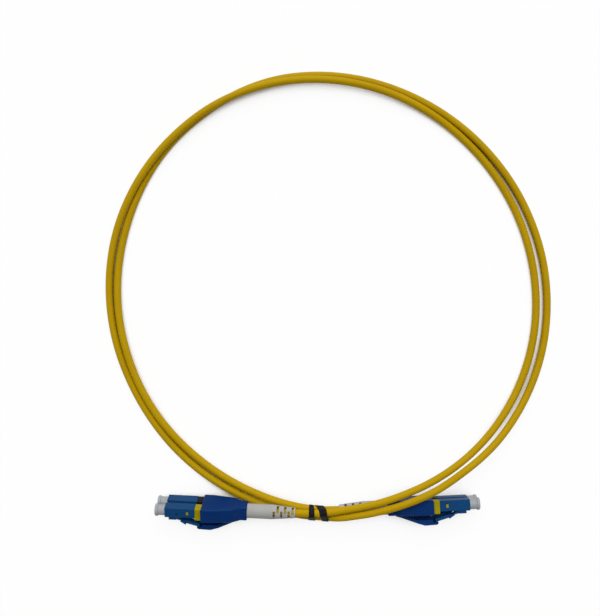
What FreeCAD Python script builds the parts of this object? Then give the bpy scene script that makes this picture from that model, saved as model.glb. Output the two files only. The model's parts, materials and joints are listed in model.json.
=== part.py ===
import FreeCAD, Part

import math
import os
import re

import Sketcher
from FreeCAD import Placement, Rotation, Vector

# Duplex fibre optic patch cord: a yellow cable in two turns, tied, with a two-plug
# connector on each end. The part lies on the plane z = 0, all lengths are in mm.
#
# Each connector is drawn in a frame of its own: X runs from the plugs' front face
# back along the cable, Y runs across the pair of plugs, Z points to the latch side,
# and the cable's axis is the X axis. A plug's own pieces are drawn about that plug's
# axis in the same way.

DOC = FreeCAD.newDocument("PatchCord")
SHEET = DOC.addObject("Spreadsheet::Sheet", "Sizes")

SIZES = [
    # Plug body
    ("plug_pitch", 6.25, "between the axes of the two plugs"),
    ("plug_width", 4.5, "plug body, square outside"),
    ("plug_length", 12.2, "plug body, front face to rear end"),
    ("plug_drop", 0.4, "plug axes behind the cable axis"),
    ("plug_corner", 0.45, "chamfer of the latch side corners"),
    ("back_corner", 0.2, "chamfer of the back corners"),
    ("mouth_diameter", 3.7, "opening round the ferrule"),
    ("mouth_depth", 3.3, "depth of that opening"),
    ("seat_length", 1.1, "wall that the ferrule flange rests on"),
    ("seat_clearance", 0.3, "radial room of the ferrule in that wall"),
    ("plug_bore", 3.5, "bore behind the wall"),
    ("window_from_rear", 3.05, "middle of the snap window, from the plug's rear end"),
    ("window_length", 1.1, "snap window along the plug"),
    ("window_height", 1.6, "snap window across the plug"),
    ("mark_from_front", 4.9, "moulding dimple on one side"),
    ("mark_rise", 0.6, "dimple towards the latch side"),
    ("mark_diameter", 1.1, "dimple"),
    ("mark_depth", 0.5, "dimple"),
    ("root_from_front", 1.5, "latch root block, from the front face"),
    ("root_length", 3.1, "latch root block"),
    ("root_height", 1.1, "latch root block above the plug"),
    ("root_width", 3.3, "latch root block"),
    # Latch arm
    ("arm_reach", 9.3, "latch arm, hinge to tip"),
    ("arm_rise", 3.0, "rise of the arm's outer face from root to tip"),
    ("arm_thickness", 1.25, "latch arm at its tip"),
    ("neck_thickness", 1.0, "latch arm at its root"),
    ("arm_width", 2.6, "latch arm"),
    ("lug_reach", 3.8, "hinge to the locking edge of the lugs"),
    ("lug_rise", 1.8, "rise of the locking edge"),
    ("lug_width", 4.4, "across the locking lugs"),
    ("lug_step", 0.25, "step down behind the locking edge"),
    ("hinge_gap", 0.1, "seam at a flexing root"),
    # Ferrule group
    ("ferrule_diameter", 1.25, "ceramic ferrule"),
    ("ferrule_length", 6.7, "ceramic ferrule"),
    ("ferrule_stand_out", 1.5, "ferrule tip beyond the front face"),
    ("ferrule_edge", 0.15, "chamfer of the ferrule's tip"),
    ("flange_diameter", 3.0, "metal flange"),
    ("flange_edge", 0.3, "chamfer of the flange's front"),
    ("flange_length", 1.2, "metal flange"),
    ("stem_diameter", 1.5, "tube behind the flange"),
    ("stem_length", 2.9, "tube behind the flange"),
    ("glue_gap", 0.02, "radial glue gap round the ferrule"),
    ("spring_wire", 0.35, "spring wire"),
    ("spring_diameter", 2.0, "spring, mean diameter"),
    ("spring_turns", 5, "free turns of the spring"),
    ("seat_gap", 0.05, "gap between a piece and the face it bears on"),
    # Rear insert
    ("insert_width", 4.3, "visible band of the rear insert"),
    ("insert_back", 2.2, "band, plug axis to back"),
    ("insert_front", 3.1, "band, plug axis to latch side"),
    ("insert_length", 2.4, "visible band"),
    ("insert_round", 0.45, "corner radius of the band"),
    ("nose_clearance", 0.05, "radial fit of the insert in the plug bore"),
    ("nose_length", 4.6, "insert inside the plug"),
    ("spring_pocket_diameter", 2.7, "pocket for the spring"),
    ("spring_pocket_depth", 3.4, "pocket for the spring"),
    ("lug_clearance", 0.1, "snap lug in its window"),
    ("tail_width", 3.7, "insert inside the housing"),
    ("tail_length", 3.5, "insert inside the housing"),
    ("collar_width", 4.5, "collar that keeps the insert in, across the pair"),
    ("collar_length", 1.0, "collar"),
    ("insert_bore", 1.6, "bore for the fibre"),
    # Dust cap
    ("cap_stand_out", 4.1, "dust cap beyond the plug's front face"),
    ("cap_rim_diameter", 5.0, "rim"),
    ("cap_rim_length", 1.3, "rim"),
    ("cap_tube_diameter", 4.3, "tube between the rim and the plug"),
    ("cap_edge", 0.25, "chamfer of the rim"),
    ("cap_clearance", 0.1, "cap tube in the plug's mouth"),
    ("cap_end_gap", 0.2, "cap end short of the mouth's floor"),
    ("cap_bore_clearance", 0.05, "radial fit on the ferrule"),
    ("cap_bore_spare", 0.4, "bore beyond the ferrule's tip"),
    # Housing
    ("housing_width", 12.5, "housing across the pair at its front"),
    ("shoulder_width", 9.7, "housing where it turns in"),
    ("housing_half", 3.1, "parting line to the outer face, each shell"),
    ("housing_length", 18.4, "front edge to the cuff's rear end"),
    ("pad_length", 4.0, "flat side pads behind the front edge"),
    ("shoulder_from_front", 13.0, "front edge to the shoulder"),
    ("cuff_length", 2.6, "straight cuff at the rear"),
    ("cuff_width", 6.0, "cuff across the pair"),
    ("housing_wall", 0.8, "shell wall"),
    ("housing_edge", 0.5, "chamfer of the outer edges"),
    ("cavity_length", 9.6, "hollow behind the front wall"),
    ("fit_clearance", 0.1, "general clearance between seated pieces"),
    ("fibre_channel", 3.4, "bore between the hollow and the crimp seat"),
    # Trigger
    ("trigger_width", 8.4, "trigger at its front"),
    ("trigger_root_width", 5.0, "trigger at its root"),
    ("trigger_neck", 2.6, "narrow stretch in front of the root"),
    ("trigger_overhang", 1.7, "trigger in front of the housing's edge"),
    ("trigger_nose", 0.6, "sloping front edge"),
    ("trigger_fall", 0.15, "fall of the top from the crest to the front"),
    ("trigger_root", 0.75, "thickness at the root"),
    ("skirt_start", 0.5, "housing front edge back to the skirts"),
    ("skirt_length", 6.5, "skirts along the trigger"),
    ("trigger_height", 7.3, "cable axis to the trigger's top"),
    ("trigger_crest", 3.8, "housing front edge back to the crest"),
    ("trigger_plate", 1.1, "plate thickness"),
    ("trigger_skirt", 0.8, "side skirt thickness"),
    ("skirt_depth", 1.1, "side skirt below the plate"),
    ("rib_depth", 1.5, "middle rib below the plate"),
    ("rib_width", 1.4, "middle rib"),
    ("trigger_root_from_rear", 3.15, "hinge to the cuff's rear end"),
    ("trigger_pocket_depth", 0.7, "pocket for the trigger's root"),
    ("trigger_pocket_length", 3.9, "pocket for the trigger's root"),
    ("trigger_pocket_gap", 0.2, "room round the root"),
    # Crimp, boot and cable
    ("crimp_flange_diameter", 4.5, "flange of the crimp body"),
    ("crimp_flange_length", 1.0, "flange of the crimp body"),
    ("crimp_flange_from_rear", 2.5, "its front face to the cuff's rear end"),
    ("crimp_tube_diameter", 3.4, "tube that the ring is crimped on"),
    ("crimp_bore", 2.4, "bore of the crimp body"),
    ("crimp_tube_out", 4.1, "tube beyond the cuff"),
    ("ring_wall", 0.35, "crimp ring"),
    ("ring_from_rear", 0.4, "crimp ring behind the cuff"),
    ("ring_on_jacket", 2.5, "crimp ring over the jacket"),
    ("boot_length", 19.6, "boot behind the cuff"),
    ("boot_collar", 10.0, "plain collar of the boot"),
    ("boot_diameter", 5.9, "collar"),
    ("boot_tip_diameter", 4.1, "rear end"),
    ("boot_clearance", 0.15, "radial, round the cable"),
    ("slot_width", 0.9, "relief slots"),
    ("slot_span", 3.1, "relief slots, across"),
    ("slot_turn", 30.0, "slots' direction, up or down from the boot's side, degrees"),
    ("slot_pitch", 3.0, "slots of one direction"),
    ("slots_per_side", 3, "slots of one direction"),
    ("slot_margin", 1.15, "rear end to the last slot's middle"),
    ("cable_diameter", 3.0, "cable jacket"),
    ("fibre_diameter", 0.9, "buffered fibre"),
    ("fibre_spacing", 1.2, "between the two fibres at the crimp"),
    ("fibre_straight", 2.4, "straight fibre in front of the crimp"),
    ("ferrule_seat", 1.3, "ferrule's rear end to the buffered fibre"),
    # Placing of the loop and the connectors, from the loop's centre
    ("loop_x", -0.337, "loop centre"),
    ("loop_y", 1.915, "loop centre"),
    ("left_x", -65.40, "left connector, cable axis at the plugs' front"),
    ("left_y", 2.11, "same, from the loop's lowest point"),
    ("left_z", 6.27, "height"),
    ("left_heading", -2.14, "turn of the axis about Z, degrees"),
    ("left_lift", 2.98, "rise of the axis to the rear, degrees"),
    ("left_roll", 109.4, "turn about the axis, degrees"),
    ("left_boot_turn", -28.0, "turn of the boot in the housing, degrees"),
    ("right_x", 57.47, "right connector"),
    ("right_y", 3.47, "from the loop's lowest point"),
    ("right_z", 6.25, "height"),
    ("right_heading", 182.78, "degrees"),
    ("right_lift", 0.0, "degrees"),
    ("right_roll", -90.0, "degrees"),
    ("right_boot_turn", 8.6, "degrees"),
    # Loop
    ("loop_radius", 89.04, "mean radius of the loop"),
    ("loop_oval", 1.8, "half the difference of its longest and shortest radius"),
    ("loop_oval_angle", 120.0, "direction of the longest radius, degrees"),
    ("crossing_height", 5.0, "cable axis where one turn passes over the other"),
    # Tie
    ("tie_width", 2.6, "strip"),
    ("tie_thickness", 0.5, "strip"),
    ("tie_clearance", 0.45, "strip to cable"),
    ("tie_x", -6.2, "middle of the first band, from the loop's centre"),
    ("tie_gap", 1.2, "between the two bands where they are closest"),
    ("tie_slant", 1.6, "lean of the second band"),
]

for row, (alias, value, note) in enumerate(SIZES, start=1):
    SHEET.set(f"A{row}", alias)
    SHEET.set(f"B{row}", str(value))
    SHEET.set(f"C{row}", note)
    SHEET.setAlias(f"B{row}", alias)
DOC.recompute()

PARTS = []


def size(alias):
    """Value of one named size."""
    return float(SHEET.get(alias))


def bound(formula):
    """A formula on size names, written for an expression that reads the sheet."""
    return re.sub("[a-z][a-z_]+", lambda name: "Sizes." + name.group(), formula)


def worth(formula):
    """The number that the same formula gives now."""
    numbers = re.sub("[a-z][a-z_]+", lambda name: repr(size(name.group())), formula)
    return FreeCAD.Units.Quantity(numbers).Value


def origin_plane(body, role):
    return [f for f in body.Origin.OriginFeatures if f.Role == role][0]


def new_body(label):
    return DOC.addObject("PartDesign::Body", label)


def new_sketch(body, role, offset="0"):
    """Sketch on one of the body's own origin planes, moved along its normal."""
    sketch = body.newObject("Sketcher::SketchObject", body.Name + "_sketch")
    sketch.AttachmentSupport = (origin_plane(body, role), [""])
    sketch.MapMode = "FlatFace"
    sketch.setExpression("AttachmentOffset.Base.z", bound(offset))
    return sketch


def outline(sketch, corners):
    """Closed outline through corners, each a pair of formulas."""
    values = [(worth(x), worth(y)) for x, y in corners]
    first = sketch.GeometryCount
    count = len(corners)
    for i, (x, y) in enumerate(values):
        to_x, to_y = values[(i + 1) % count]
        sketch.addGeometry(Part.LineSegment(Vector(x, y, 0), Vector(to_x, to_y, 0)), False)
    for i in range(count):
        follower = first + (i + 1) % count
        sketch.addConstraint(Sketcher.Constraint("Coincident", first + i, 2, follower, 1))
    for i, (x, y) in enumerate(corners):
        for kind, formula, value in (("DistanceX", x, values[i][0]), ("DistanceY", y, values[i][1])):
            index = sketch.addConstraint(Sketcher.Constraint(kind, -1, 1, first + i, 1, value))
            sketch.setExpression(f"Constraints[{index}]", bound(formula))


def rectangle(sketch, x_low, x_high, y_low, y_high):
    outline(sketch, [(x_low, y_low), (x_high, y_low), (x_high, y_high), (x_low, y_high)])


def circle(sketch, x, y, diameter):
    """Circle whose centre and diameter are formulas."""
    centre = Vector(worth(x), worth(y), 0)
    index = sketch.addGeometry(Part.Circle(centre, Vector(0, 0, 1), worth(diameter) / 2), False)
    sizes = [("DistanceX", x), ("DistanceY", y)]
    for kind, formula in sizes:
        row = sketch.addConstraint(Sketcher.Constraint(kind, -1, 1, index, 3, worth(formula)))
        sketch.setExpression(f"Constraints[{row}]", bound(formula))
    row = sketch.addConstraint(Sketcher.Constraint("Diameter", index, worth(diameter)))
    sketch.setExpression(f"Constraints[{row}]", bound(diameter))


def extrude(body, kind, sketch, length, symmetric=False, reverse=False):
    """Pad or Pocket of a sketch."""
    feature = body.newObject("PartDesign::" + kind, body.Name + "_" + kind.lower())
    feature.Profile = sketch
    feature.setExpression("Length", bound(length))
    if symmetric:
        feature.SideType = "Symmetric"
    feature.Reversed = reverse
    sketch.Visibility = False
    DOC.recompute()
    return feature


def revolve(body, kind, sketch):
    """Revolution or Groove of a sketch about its own horizontal axis."""
    feature = body.newObject("PartDesign::" + kind, body.Name + "_" + kind.lower())
    feature.Profile = sketch
    feature.ReferenceAxis = (sketch, ["H_Axis"])
    feature.Angle = 360
    DOC.recompute()
    return feature


def turned(label, profile):
    """Body turned about X: profile is a list of (x, radius) formulas."""
    body = new_body(label)
    sketch = new_sketch(body, "XY_Plane")
    outline(sketch, profile)
    revolve(body, "Revolution", sketch)
    return body


def edges_where(feature, test):
    """Names of the straight edges whose two ends both pass a test."""
    names = []
    for i, edge in enumerate(feature.Shape.Edges, start=1):
        ends = [v.Point for v in edge.Vertexes]
        if len(ends) == 2 and edge.Curve.TypeId == "Part::GeomLine" and test(ends[0], ends[1]):
            names.append(f"Edge{i}")
    return names


def chamfer(body, feature, test, formula, kind="Chamfer"):
    """Chamfer or fillet on the edges that pass a test."""
    cut = body.newObject("PartDesign::" + kind, body.Name + "_" + kind.lower())
    cut.Base = (feature, edges_where(feature, test))
    cut.setExpression("Size" if kind == "Chamfer" else "Radius", bound(formula))
    DOC.recompute()
    return cut


def along_x(a, b):
    return abs(a.y - b.y) < 1e-6 and abs(a.z - b.z) < 1e-6


def keep(label, shape_object, place):
    """Place a finished sub-part and list it for export."""
    shape_object.Label = label
    shape_object.Placement = place
    PARTS.append(shape_object)


# Plug body and its latch arm

def plug_body(label, place):
    """Square blue plug with its mouth, bore, snap windows and the latch's root block."""
    body = new_body(label)
    sketch = new_sketch(body, "YZ_Plane")
    half = "plug_width / 2"
    rectangle(sketch, "-" + half, half, "-" + half, half)
    block = extrude(body, "Pad", sketch, "plug_length")
    top = size("plug_width") / 2
    block = chamfer(body, block, lambda a, b: along_x(a, b) and a.z > top - 1e-6, "plug_corner")
    chamfer(body, block, lambda a, b: along_x(a, b) and a.z < -top + 1e-6, "back_corner")

    sketch = new_sketch(body, "XY_Plane", "plug_width / 2 - plug_corner")
    root_end = "root_from_front + root_length"
    rectangle(sketch, "root_from_front", root_end, "-root_width / 2", "root_width / 2")
    extrude(body, "Pad", sketch, "root_height + plug_corner")

    sketch = new_sketch(body, "XY_Plane")
    seat_end = "mouth_depth + seat_length"
    seat_radius = "ferrule_diameter / 2 + seat_clearance"
    outline(sketch, [
        ("-1", "0"), ("-1", "mouth_diameter / 2"), ("mouth_depth", "mouth_diameter / 2"),
        ("mouth_depth", seat_radius), (seat_end, seat_radius), (seat_end, "plug_bore / 2"),
        ("plug_length + 1", "plug_bore / 2"), ("plug_length + 1", "0")])
    revolve(body, "Groove", sketch)

    sketch = new_sketch(body, "XZ_Plane")
    middle = "plug_length - window_from_rear"
    rectangle(sketch, middle + " - window_length / 2", middle + " + window_length / 2",
              "-window_height / 2", "window_height / 2")
    extrude(body, "Pocket", sketch, "plug_width + 1", symmetric=True)

    sketch = new_sketch(body, "XZ_Plane", "-plug_width / 2")
    circle(sketch, "mark_from_front", "mark_rise", "mark_diameter")
    extrude(body, "Pocket", sketch, "mark_depth", reverse=True)
    keep(label, body, place)


def latch_arm(label, place):
    """Springy arm that slopes out to the rear, with locking lugs on both sides."""
    body = new_body(label)
    root = "root_from_front + root_length + hinge_gap"
    top = "plug_width / 2 + root_height"
    lug = root + " + lug_reach"
    tip = root + " + arm_reach"
    sketch = new_sketch(body, "XZ_Plane")
    outline(sketch, [
        (root, top), (root + " + 0.42 * lug_reach", top + " + 0.2 * lug_rise"),
        (root + " + 0.68 * lug_reach", top + " + 0.55 * lug_rise"), (lug, top + " + lug_rise"),
        (lug + " + 0.2", top + " + lug_rise - lug_step"), (tip, top + " + arm_rise"),
        (tip, top + " + arm_rise - arm_thickness"),
        (lug + " + 0.2", top + " + lug_rise - lug_step - arm_thickness"),
        (root + " + 0.7 * lug_reach", top + " + 0.2 * lug_rise"),
        (root + " + 0.3 * lug_reach", top + " - 0.6 * neck_thickness"),
        (root, top + " - neck_thickness")])
    extrude(body, "Pad", sketch, "arm_width", symmetric=True)

    sketch = new_sketch(body, "XZ_Plane")
    outline(sketch, [
        (root + " + 0.42 * lug_reach", top + " + 0.2 * lug_rise"),
        (root + " + 0.68 * lug_reach", top + " + 0.55 * lug_rise"), (lug, top + " + lug_rise"),
        (lug, top + " + lug_rise - lug_step - 0.6 * arm_thickness"),
        (root + " + 0.75 * lug_reach", top + " + 0.25 * lug_rise"),
        (root + " + 0.5 * lug_reach", top + " + 0.05 * lug_rise")])
    extrude(body, "Pad", sketch, "lug_width", symmetric=True)
    keep(label, body, place)


# Ferrule, its flange and the spring behind it

def ferrule(label, place):
    radius = "ferrule_diameter / 2"
    end = "ferrule_length - ferrule_stand_out"
    body = turned(label, [
        ("-ferrule_stand_out", "0"), ("-ferrule_stand_out", radius + " - ferrule_edge"),
        ("-ferrule_stand_out + ferrule_edge", radius), (end, radius), (end, "0")])
    keep(label, body, place)


def flange_start():
    return "mouth_depth + seat_length + seat_gap"


def ferrule_flange(label, place):
    """Metal holder: a disc with a chamfered front, and the stem that the fibre enters."""
    start = flange_start()
    step = start + " + flange_length"
    rear = step + " + stem_length"
    glued = "ferrule_diameter / 2 + glue_gap"
    stop = "ferrule_length - ferrule_stand_out + glue_gap"
    fibre_way = "fibre_diameter / 2 + seat_gap"
    body = turned(label, [
        (start, glued), (start, "flange_diameter / 2 - flange_edge"),
        (start + " + flange_edge", "flange_diameter / 2"),
        (step, "flange_diameter / 2"), (step, "stem_diameter / 2"), (rear, "stem_diameter / 2"),
        (rear, fibre_way), (stop, fibre_way), (stop, glued)])
    keep(label, body, place)


def biarc(start, start_way, end, end_way):
    """Two arcs that meet smoothly, from start to end, along unit vectors at both."""
    gap = end - start
    both = start_way + end_way
    closing = 2 * (1 - start_way.dot(end_way))
    reach = gap.dot(both)
    if closing < 1e-9:
        leg = gap.dot(gap) / (2 * reach)
    else:
        leg = (-reach + math.sqrt(reach * reach + closing * gap.dot(gap))) / closing
    middle = (start + start_way * leg + end - end_way * leg) * 0.5
    return [single_arc(start, start_way, middle), single_arc(end, end_way * -1, middle)]


def single_arc(start, way, end):
    """Arc that leaves start along way and ends at end, or a straight line if it doesn't turn."""
    chord = end - start
    across = chord - way * chord.dot(way)
    if across.Length < 1e-7 * chord.Length:
        return Part.LineSegment(start, end).toShape()
    radius = chord.dot(chord) / (2 * across.Length)
    centre = start + across * (radius / across.Length)
    spoke = (start + chord * 0.5 - centre)
    spoke.normalize()
    return Part.Arc(start, centre + spoke * radius, end).toShape()


def smooth_path(points, ways):
    """Wire of biarcs through points, with a unit vector at each."""
    edges = []
    for i in range(len(points) - 1):
        first, last = biarc(points[i], ways[i], points[i + 1], ways[i + 1])
        edges += [first, last]
    return edges


def tube_along(edges, start, way, radius):
    """Round tube along a smooth chain of edges."""
    ordered = Part.Wire(Part.__sortEdges__(edges))
    ring = Part.Wire([Part.Circle(start, way, radius).toShape()])
    maker = Part.BRepOffsetAPI.MakePipeShell(ordered)
    maker.add(ring)
    maker.build()
    maker.makeSolid()
    return maker.shape(), ordered


def made_shape(label, shape, place):
    """Sub-part whose shape is made directly."""
    feature = DOC.addObject("Part::Feature", label)
    feature.Shape = shape
    keep(label, feature, place)


def spring(label, place):
    """Compression spring between the flange and the floor of the insert's pocket."""
    wire = size("spring_wire")
    radius = size("spring_diameter") / 2
    turns = size("spring_turns")
    start = worth(flange_start() + " + flange_length") + wire / 2 + size("seat_gap")
    floor = worth("plug_length - nose_length + spring_pocket_depth")
    rise = floor - wire / 2 - size("seat_gap") - start
    points = []
    ways = []
    for half_turn in range(int(2 * turns) + 1):
        angle = math.pi * half_turn
        points.append(Vector(start + rise * half_turn / (2 * turns),
                             radius * math.cos(angle), radius * math.sin(angle)))
        way = Vector(rise / (2 * math.pi * turns),
                     -radius * math.sin(angle), radius * math.cos(angle))
        ways.append(way.normalize())
    shape, path = tube_along(smooth_path(points, ways), points[0], ways[0], wire / 2)
    made_shape(label, shape, place)


# Rear insert and dust cap

def rear_insert(label, place):
    """Coloured insert snapped into the plug's rear, its band showing before the housing."""
    body = new_body(label)
    sketch = new_sketch(body, "YZ_Plane", "plug_length")
    rectangle(sketch, "-insert_width / 2", "insert_width / 2", "-insert_back", "insert_front")
    band = extrude(body, "Pad", sketch, "insert_length")
    chamfer(body, band, along_x, "insert_round", kind="Fillet")

    sketch = new_sketch(body, "YZ_Plane", "plug_length + insert_length")
    rectangle(sketch, "-tail_width / 2", "tail_width / 2", "-tail_width / 2", "tail_width / 2")
    extrude(body, "Pad", sketch, "tail_length")

    collar_start = "plug_length + insert_length + housing_wall + fit_clearance"
    sketch = new_sketch(body, "YZ_Plane", collar_start)
    rectangle(sketch, "-collar_width / 2", "collar_width / 2", "-tail_width / 2", "tail_width / 2")
    extrude(body, "Pad", sketch, "collar_length")

    sketch = new_sketch(body, "XY_Plane")
    nose = "plug_length - nose_length"
    nose_radius = "plug_bore / 2 - nose_clearance"
    rectangle(sketch, nose, "plug_length", "0", nose_radius)
    revolve(body, "Revolution", sketch)

    lug_start = "plug_length - window_from_rear - window_length / 2 + lug_clearance"
    sketch = new_sketch(body, "YZ_Plane", lug_start)
    lug_half = "plug_width / 2 - lug_clearance"
    rectangle(sketch, "-(" + lug_half + ")", lug_half,
              "-window_height / 2 + lug_clearance", "window_height / 2 - lug_clearance")
    extrude(body, "Pad", sketch, "window_length - 2 * lug_clearance")

    sketch = new_sketch(body, "XY_Plane")
    floor = nose + " + spring_pocket_depth"
    end = "plug_length + insert_length + tail_length + 1"
    outline(sketch, [
        (nose + " - 1", "0"), (nose + " - 1", "spring_pocket_diameter / 2"),
        (floor, "spring_pocket_diameter / 2"), (floor, "insert_bore / 2"),
        (end, "insert_bore / 2"), (end, "0")])
    revolve(body, "Groove", sketch)
    keep(label, body, place)


def dust_cap(label, place):
    """White cap: a tube over the ferrule with a wider rim to pull it by."""
    front = "-cap_stand_out"
    step = "-cap_stand_out + cap_rim_length"
    rim = "cap_rim_diameter / 2"
    tube = "mouth_diameter / 2 - cap_clearance"
    inner = "mouth_depth - cap_end_gap"
    bore = "ferrule_diameter / 2 + cap_bore_clearance"
    floor = "-ferrule_stand_out - cap_bore_spare"
    body = turned(label, [
        (front, "0"), (front, rim + " - cap_edge"), (front + " + cap_edge", rim),
        (step + " - cap_edge", rim), (step, rim + " - cap_edge"),
        (step, "cap_tube_diameter / 2"), ("-seat_gap", "cap_tube_diameter / 2"),
        ("-seat_gap", tube), (inner, tube), (inner, bore), (floor, bore), (floor, "0")])
    keep(label, body, place)


# Housing, trigger, crimp and boot

def housing_front():
    return "plug_length + insert_length"


def housing_rear():
    return housing_front() + " + housing_length"


def shell(label, place, latch_side):
    """One half of the housing: outer form, hollow, insert windows and the crimp's seat."""
    body = new_body(label)
    front = housing_front()
    pad_end = front + " + pad_length"
    shoulder = front + " + shoulder_from_front"
    cuff = housing_rear() + " - cuff_length"
    rear = housing_rear()
    sides = [(front, "housing_width / 2"), (pad_end, "housing_width / 2"),
             (shoulder, "shoulder_width / 2"), (cuff, "cuff_width / 2"), (rear, "cuff_width / 2")]
    mirrored = [(x, "-" + y) for x, y in reversed(sides)]
    sketch = new_sketch(body, "XY_Plane")
    outline(sketch, sides + mirrored)
    block = extrude(body, "Pad", sketch, "housing_half", reverse=not latch_side)
    face = size("housing_half") * (1 if latch_side else -1)
    chamfer(body, block, lambda a, b: abs(a.z - face) < 1e-6 and abs(b.z - face) < 1e-6,
            "housing_edge")

    hollow_start = front + " + housing_wall"
    hollow_end = hollow_start + " + cavity_length"
    inner = "housing_width / 2 - housing_wall"
    inner_end = "shoulder_width / 2 - housing_wall"
    hollow = [(hollow_start, inner), (pad_end, inner), (hollow_end, inner_end)]
    sketch = new_sketch(body, "XY_Plane")
    outline(sketch, hollow + [(x, "-1 * ( " + y + " )") for x, y in reversed(hollow)])
    extrude(body, "Pocket", sketch, "housing_half - housing_wall", reverse=latch_side)

    sketch = new_sketch(body, "XY_Plane")
    seat = rear + " - crimp_flange_from_rear - fit_clearance"
    seat_end = rear + " - crimp_flange_from_rear + crimp_flange_length + fit_clearance"
    seat_radius = "crimp_flange_diameter / 2 + fit_clearance"
    exit_radius = "crimp_tube_diameter / 2 + fit_clearance"
    outline(sketch, [
        (hollow_end + " - housing_wall", "0"), (hollow_end + " - housing_wall", "fibre_channel / 2"),
        (seat, "fibre_channel / 2"), (seat, seat_radius), (seat_end, seat_radius),
        (seat_end, exit_radius), (rear + " + 1", exit_radius), (rear + " + 1", "0")])
    revolve(body, "Groove", sketch)

    sketch = new_sketch(body, "YZ_Plane", front + " + housing_wall / 2")
    half = "tail_width / 2 + fit_clearance"
    for side in ("", "-"):
        middle = side + "plug_pitch / 2"
        rectangle(sketch, middle + " - ( " + half + " )", middle + " + " + half,
                  "-plug_drop - ( " + half + " )", "-plug_drop + " + half)
    extrude(body, "Pocket", sketch, "housing_wall + 2 * fit_clearance", symmetric=True)

    if latch_side:
        sketch = new_sketch(body, "XZ_Plane")
        hinge = rear + " - trigger_root_from_rear"
        rectangle(sketch, hinge + " + hinge_gap - trigger_pocket_length", hinge + " + hinge_gap",
                  "housing_half - trigger_pocket_depth", "housing_half + 1")
        extrude(body, "Pocket", sketch, "trigger_root_width + 2 * trigger_pocket_gap", symmetric=True)
    keep(label, body, place)


def trigger(label, place):
    """Lever over both latch arms: a sloping plate with side skirts and a rib, rooted at the rear."""
    body = new_body(label)
    root = housing_rear() + " - trigger_root_from_rear - hinge_gap / 2"
    front = housing_front() + " - trigger_overhang"
    crest = housing_front() + " + trigger_crest"
    low = "trigger_height - trigger_plate"
    floor = "housing_half - trigger_pocket_depth + trigger_pocket_gap"
    skirt_from = housing_front() + " + skirt_start"
    skirt_low = low + " - skirt_depth"
    skirt_end = skirt_from + " + skirt_length"
    sketch = new_sketch(body, "XZ_Plane")
    outline(sketch, [
        (root, floor), (root, floor + " + trigger_root"), (crest, "trigger_height"),
        (front + " + trigger_nose", "trigger_height - trigger_fall"),
        (front, "trigger_height - trigger_nose"), (front, low), (skirt_from, low),
        (skirt_from, skirt_low), (skirt_end, skirt_low),
        (root + " - trigger_neck + 0.3", "housing_half - seat_gap")])
    extrude(body, "Pad", sketch, "trigger_width", symmetric=True)

    sketch = new_sketch(body, "XZ_Plane")
    outline(sketch, [
        (skirt_from + " - fit_clearance", skirt_low + " - fit_clearance"),
        (skirt_from + " - fit_clearance", low), (crest, low),
        (skirt_end + " + 2 * fit_clearance", skirt_low + " - fit_clearance")])
    extrude(body, "Pocket", sketch, "trigger_width - 2 * trigger_skirt", symmetric=True)

    rib_from = front + " + trigger_nose"
    sketch = new_sketch(body, "XZ_Plane")
    outline(sketch, [
        (rib_from, low + " + trigger_fall"), (rib_from, low + " - rib_depth"),
        (skirt_end, low + " - rib_depth"), (skirt_end, skirt_low + " + trigger_fall"),
        (crest, low + " + trigger_fall")])
    extrude(body, "Pad", sketch, "rib_width", symmetric=True)

    neck = root + " - trigger_neck"
    for side in ("", "-"):
        sketch = new_sketch(body, "XY_Plane", "trigger_height + 1")
        outline(sketch, [
            (skirt_end, side + "trigger_width / 2"), (neck, side + "trigger_root_width / 2"),
            (root + " + 1", side + "trigger_root_width / 2"),
            (root + " + 1", side + "trigger_width"), (skirt_end, side + "trigger_width")])
        extrude(body, "Pocket", sketch, "trigger_height + 2")
    keep(label, body, place)


def crimp_body(label, place):
    """Metal tube whose flange is held between the shells."""
    start = housing_rear() + " - crimp_flange_from_rear"
    step = start + " + crimp_flange_length"
    end = housing_rear() + " + crimp_tube_out"
    body = turned(label, [
        (start, "crimp_bore / 2"), (start, "crimp_flange_diameter / 2"),
        (step, "crimp_flange_diameter / 2"), (step, "crimp_tube_diameter / 2"),
        (end, "crimp_tube_diameter / 2"), (end, "crimp_bore / 2")])
    keep(label, body, place)


def crimp_ring(label, place):
    """Ring crimped over the tube and the end of the jacket."""
    start = housing_rear() + " + ring_from_rear"
    step = housing_rear() + " + crimp_tube_out"
    end = step + " + ring_on_jacket"
    inner = "crimp_tube_diameter / 2 + seat_gap"
    outer = inner + " + ring_wall"
    necked = "cable_diameter / 2 + seat_gap"
    body = turned(label, [
        (start, inner), (start, outer), (step, outer), (end, necked + " + ring_wall"),
        (end, necked), (step + " + 0.5", necked), (step, inner)])
    keep(label, body, place)


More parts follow.
